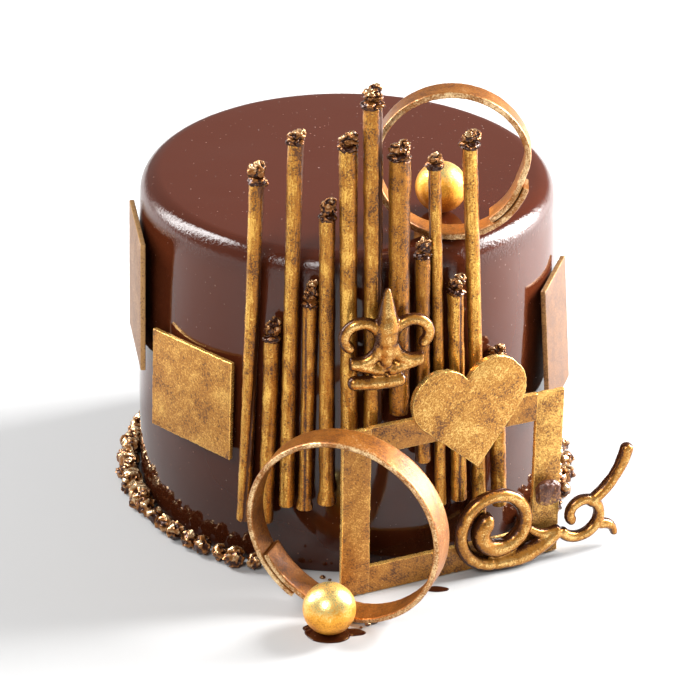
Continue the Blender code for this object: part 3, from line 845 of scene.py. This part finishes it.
def pipeStroke(place, points, widths, seed):
    # widths are the radius factors at the stroke's start, middle and end
    lengths = [0.0]
    for one, two in zip(points, points[1:]):
        lengths.append(lengths[-1] + (two - one).length)
    total = lengths[-1]

    def spineAt(part):
        want = part * total
        for index in range(len(points) - 1):
            if want <= lengths[index + 1] or index == len(points) - 2:
                step = lengths[index + 1] - lengths[index]
                return points[index].lerp(points[index + 1], (want - lengths[index]) / step)

    def pointAt(along, around):
        here = spineAt(along)
        ahead = (spineAt(min(along + 0.01, 1)) - spineAt(max(along - 0.01, 0))).normalized()
        near = min(along, 1 - along) * 2
        end = widths[0] if along < 0.5 else widths[2]
        radius = piping["radius"] * (end + (widths[1] - end) * near)
        radius *= 1 + 0.07 * noise.noise(Vector((along * total * 0.3, seed, 0)))
        inset = min(along, 1 - along) * total
        radius *= sqrt(max(0.02, 1 - max(0, 1 - inset / (radius * 0.9)) ** 2))
        angle = around * 2 * pi
        aside = Vector((-ahead.y, ahead.x)) * radius * cos(angle)
        return place @ (Vector((here.x + aside.x, here.y + aside.y, radius * sin(angle))) * mm)

    return wrappedGrid(max(24, round(total * 1.2)), 18, pointAt)


def makeScroll(name, place, strokes, node):
    bm = bmesh.new()
    for seed, (points, widths) in enumerate(strokes):
        joinInto(bm, pipeStroke(place, points, widths, seed * 3.3))
    bmesh.ops.recalc_face_normals(bm, faces=bm.faces)
    mesh = bpy.data.meshes.new(name)
    bm.to_mesh(mesh)
    bm.free()
    # the strokes run into each other as soft chocolate does
    holder = bpy.data.objects.new(name, mesh)
    bpy.context.scene.collection.objects.link(holder)
    flow = holder.modifiers.new("flow together", "REMESH")
    flow.mode = "VOXEL"
    flow.voxel_size = piping["grain"] * mm
    soften = holder.modifiers.new("soften", "SMOOTH")
    soften.factor = 0.5
    soften.iterations = 6
    evaluated = holder.evaluated_get(bpy.context.evaluated_depsgraph_get())
    flowed = bpy.data.meshes.new_from_object(evaluated)
    bpy.data.objects.remove(holder)
    bm = bmesh.new()
    bm.from_mesh(flowed)
    layer = bm.verts.layers.float.new("dustAndLight")
    out = (place.to_3x3() @ Vector((0, 0, 1))).normalized()
    bm.normal_update()
    for vert in bm.verts:
        # painted light: faces turned out of the plane carry the dust, and the sides are dark
        # chocolate deepened into painted shade at the outlines; faces turned up are painted
        # lighter, painted light from above
        vert[layer] = -0.72 + 1.42 * vert.normal.dot(out) + 0.30 * vert.normal.z
    keepPiece(bm, name, "piping", [node])


def makeScrolls():
    spec = piping["upper"]
    middle, level = spec["middle"], spec["level"]
    strokes = [
        (bowed((middle, level + 8), (middle, level + 40), 0.0), (0.8, 1.9, 0.35)),
        (bowed((middle - 14, level + 3.6), (middle + 7.5, level + 3.6), -0.03), (1.0, 1.1, 1.0)),
    ]
    for side, angles in ((-1, (250, 610)), (1, (290, -70))):
        curl = volute((middle + side * 10.2, level + 20), (9.2, 3.2), angles, 40)
        strokes.append(([Vector((middle, level + 7))] + curl, (0.9, 0.95, 0.8)))
    place = wallPlace(spec["angle"], spec["distance"] * mm, 0, 0)
    makeScroll("upperFlourish", place, strokes, "scroll_upper")

    spec = piping["lower"]
    floor = piping["radius"] + 0.35
    strokes = [
        (volute((20.4, 18.7), (15.6, 4.2), (-90, -610), 90), (1.05, 1.0, 1.55)),
        (bowed((18.0, floor + 0.4), (46.5, 11.8), -0.10), (1.0, 1.5, 1.0)),
        (volute((55.0, 15.8), (9.4, 3.2), (205, 590), 50), (0.95, 0.85, 0.8)),
        (bowed((47.0, 12.4), (33.5, 15.5), 0.20), (0.9, 0.8, 0.55)),
        (bowed((57.3, 19.5), (73.6, 42.6), -0.12), (0.95, 0.90, 1.02)),
        (bowed((62.0, 10.0), (70.0, 3.6), 0.25), (0.9, 0.75, 0.5)),
    ]
    place = wallPlace(spec["angle"], spec["distance"] * mm, 0, 0)
    makeScroll("lowerFlourish", place, strokes, "scroll_lower")


makeScrolls()
print("flourishes made")


# Dab of chocolate on the frame
dab = dict(shift=41.0, level=28.5, radius=5.6, depth=2.9)


def makeDab():
    distance = plates["frame"]["face"] + plates["gap"] + dab["depth"]
    place = wallPlace(plates["frame"]["angle"], distance * mm, dab["shift"] * mm, dab["level"] * mm)
    bm, layer = newDusted()
    bmesh.ops.create_icosphere(bm, subdivisions=5, radius=1)
    for vert in bm.verts:
        spot = Vector([abs(part) ** 0.75 * (1 if part > 0 else -1) for part in vert.co])
        lump = (1 - 0.22 * abs(waver(spot, 1.4, 6)) - 0.08 * abs(waver(spot, 3.5, 2))) * 0.94
        vert[layer] = 0.26 - 0.34 * spot.y
        local = Vector((spot.x * dab["radius"], spot.y * dab["radius"], spot.z * dab["depth"]))
        vert.co = place @ (local * lump * mm)
    keepPiece(bm, "chocolateDab", "mauve", ["dab"])


makeDab()
print("dab made")


# Glaze that ran down by the front ball and at the frame's foot, and crumbs near them. A drop is
# its place and how far it reaches across and deep, a crumb its place and size
puddle = dict(thick=0.75, fullDepth=6.4,
              drops=((-4.2, -120.0, 8.6, 6.4), (3.6, -119.2, 5.2, 2.6),
                     (-10.4, -117.0, 3.4, 2.6), (34.6, -89.6, 4.6, 2.0)))
crumbs = dict(seed=11,
              spots=((-17.0, -82.6, 1.7), (-13.5, -84.2, 1.0), (-7.0, -83.4, 1.3),
                     (-4.4, -84.8, 0.8), (9.5, -114.6, 1.2), (12.4, -112.8, 0.9),
                     (7.2, -116.4, 0.7), (-19.5, -93.0, 0.8)))


def makePuddle():
    bm = bmesh.new()
    for seed, (x, y, across, deep) in enumerate(puddle["drops"]):
        for vert in bmesh.ops.create_icosphere(bm, subdivisions=5, radius=1)["verts"]:
            spot = vert.co.copy()
            swell = 1 + 0.10 * noise.noise(Vector((spot.x * 1.2, spot.y * 1.2, seed * 4.0)))
            high = max(spot.z, 0) ** 0.8 * puddle["thick"] * (deep / puddle["fullDepth"]) ** 0.5
            vert.co = Vector((x + spot.x * across * swell, y + spot.y * deep * swell, high)) * mm
    keepPiece(bm, "glazePuddle", "glaze", [])


def makeCrumbs():
    bm, layer = newDusted()
    rng = random.Random(crumbs["seed"])
    for x, y, size in crumbs["spots"]:
        known = len(bm.verts)
        half = Vector((size, size * 0.8, size * 0.7)) * mm
        addNugget(bm, layer, Vector((x, y, size * 0.5)) * mm, half, rng, 3, 0.40, 0.9)
        bm.verts.ensure_lookup_table()
        for vert in bm.verts[known:]:
            vert.co.z = max(vert.co.z, 0)
    keepPiece(bm, "crumbs", "nugget", [])


makeCrumbs()
makePuddle()
print("crumbs and thin glaze made")


# Nugget border: rough nuggets heaped round the foot, apart from the decorated front
border = dict(start=56.0, end=339.0, step=7.8, singleFrom=291.0, spacing=1.12, wideEnd=112.0,
              reach=89.4, widerBy=1.6, gap=0.5, seed=5)


def makeBorder():
    bm, layer = newDusted()
    rng = random.Random(border["seed"])
    wall = wallRadius(0) + border["gap"]

    def drop(angle, distance, radius, level, limit):
        spot = outward(angle) * (wall + distance) + Vector((0, 0, level))
        half = Vector((radius, radius, radius)) * rng.uniform(0.92, 1.0)
        known = len(bm.verts)
        addNugget(bm, layer, spot * mm, half * mm, rng, 3, 0.40, 1.05)
        bm.verts.ensure_lookup_table()
        for vert in bm.verts[known:]:
            reach = Vector((vert.co.x, vert.co.y)).length
            if reach > limit * mm:
                vert.co.x *= limit * mm / reach
                vert.co.y *= limit * mm / reach
            vert.co.z = max(vert.co.z, 0)

    angle, step = border["start"], border["step"]
    while angle < border["singleFrom"]:
        # towards the back the nuggets lie two deep, with some on top
        wide = angle < border["wideEnd"]
        limit = border["reach"] + (border["widerBy"] if wide else 0)
        radius = rng.uniform(4.2, 5.0)
        drop(angle + rng.uniform(-0.8, 0.8), radius * 0.85, radius, radius * 0.8, limit)
        radius = rng.uniform(3.5, 4.3)
        further = rng.uniform(5.8, 6.6) + (1.4 if wide else 0)
        drop(angle + step / 2, further, radius, radius * 0.8, limit)
        radius = rng.uniform(3.2, 3.9)
        drop(angle + step * 0.52, radius * 0.9, radius, radius * 0.9, limit)
        if rng.random() < (0.9 if wide else 0.6):
            radius = rng.uniform(3.0, 3.7)
            onTop = angle + step * rng.uniform(0.2, 0.7)
            drop(onTop, rng.uniform(3.2, 4.6), radius, 6.0, limit)
        angle += step
    while angle <= border["end"]:
        # the front left has one row of larger nuggets, each beside the next
        radius = rng.uniform(3.7, 5.0)
        drop(angle, radius * 0.9 + rng.uniform(0.3, 1.5), radius, radius * 0.82, border["reach"])
        angle += radius * border["spacing"]
    keepPiece(bm, "nuggetBorder", "nugget", ["nugget_border"])


makeBorder()
print("border made")


# Stage: a plain pale floor, and soft light from both sides and from the front. A light is its name,
# place, aim, size and power
stage = dict(
    floor=(0.40, 0.40, 0.40), farFloor=(0.86, 0.86, 0.86), floorSize=6, fade=(0.40, 1.10), sky=0.32,
    lights=(
        ("left softbox", (-1.33, 0.48, 1.02), (0, 0, 0.10), (0.50, 1.50), 50),
        ("right softbox", (1.16, 0.37, 0.62), (0.10, 0.02, 0.05), (0.50, 0.95), 100),
        ("front softbox", (-0.9, -2.1, 2.2), (0, 0, 0.08), (1.0, 0.9), 60),
    ),
)


def makeStage():
    bm = bmesh.new()
    bmesh.ops.create_grid(bm, x_segments=2, y_segments=2, size=stage["floorSize"])
    mesh = bpy.data.meshes.new("floor")
    bm.to_mesh(mesh)
    bm.free()
    floor = bpy.data.objects.new("floor", mesh)
    # the floor is painted paler further out, painted light that keeps it pale where the lights fade
    # with distance
    paint = Finish("pale floor", Roughness=0.7)
    away = paint.node("ShaderNodeVectorMath", {"operation": "LENGTH"}, {0: paint.place()}, "Value")
    shade = paint.blend(paint.band(away, *stage["fade"]), stage["floor"], stage["farFloor"])
    floor.data.materials.append(paint.feed(Base_Color=shade))
    bpy.context.scene.collection.objects.link(floor)
    floor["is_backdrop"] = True
    world = bpy.data.worlds.new("studio")
    world.use_nodes = True
    world.node_tree.nodes["Background"].inputs["Color"].default_value = (1, 1, 1, 1)
    world.node_tree.nodes["Background"].inputs["Strength"].default_value = stage["sky"]
    bpy.context.scene.world = world
    for name, spot, aim, size, power in stage["lights"]:
        light = bpy.data.lights.new(name, "AREA")
        light.shape = "RECTANGLE"
        light.size, light.size_y = size
        light.energy = power
        holder = bpy.data.objects.new(name, light)
        holder.location = spot
        holder.rotation_euler = (Vector(aim) - Vector(spot)).to_track_quat("-Z", "Y").to_euler()
        bpy.context.scene.collection.objects.link(holder)
    bpy.context.scene.view_settings.view_transform = "Standard"


makeStage()
print("stage set")

boxes = {"cad": cadBox, "visual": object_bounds()}
{name: [[float(v) for v in corner] for corner in box] for name, box in boxes.items()}
